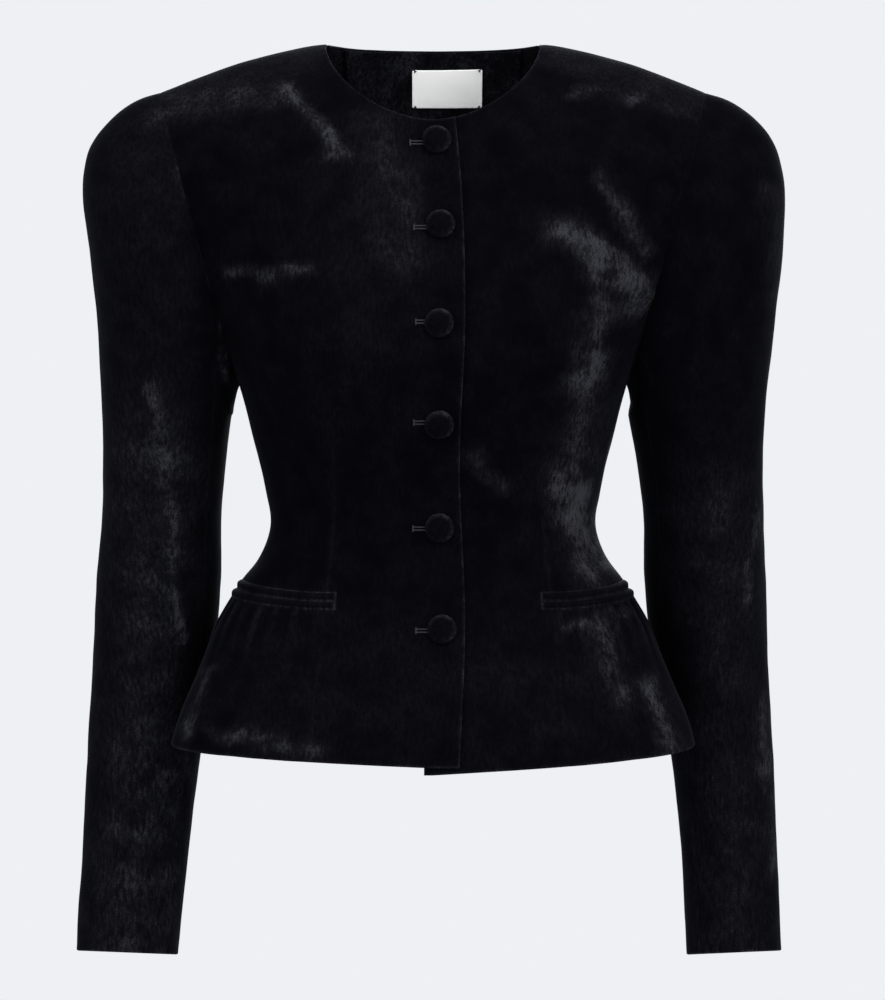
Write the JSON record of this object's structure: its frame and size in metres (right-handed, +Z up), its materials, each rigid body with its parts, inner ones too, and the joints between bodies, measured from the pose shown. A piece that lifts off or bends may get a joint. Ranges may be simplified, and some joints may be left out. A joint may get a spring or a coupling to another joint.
{
  "type": "peplum blazer",
  "caption": "Collarless fitted velvet jacket with padded shoulders, long two-piece sleeves, covered buttons, double-welt pockets and a flared peplum, hollow as worn.",
  "frame": {"origin": "on the centre line at the height of the shoulder seams, where the wearer's shoulders carry the jacket", "axes": "+Z up, the front faces -Y, +X towards the wearer's left"},
  "size_m": [0.5604, 0.2704, 0.7228],
  "materials": {
    "velvet": "soft pile",
    "covered_button": "soft pile",
    "label_tape": "smooth weave"
  },
  "bodies": {
    "root": {"front_right": "velvet", "peplum_right": "velvet", "back_right": "velvet", "upper_sleeve_right": "velvet", "under_sleeve_right": "velvet", "welt_upper_right": "velvet", "welt_lower_right": "velvet", "front_left": "velvet", "peplum_left": "velvet", "back_left": "velvet", "upper_sleeve_left": "velvet", "under_sleeve_left": "velvet", "welt_upper_left": "velvet", "welt_lower_left": "velvet", "back_neck_facing": "velvet", "button_1": "covered_button", "button_2": "covered_button", "button_3": "covered_button", "button_4": "covered_button", "button_5": "covered_button", "button_6": "covered_button", "label": "label_tape"}
  },
  "joints": []
}
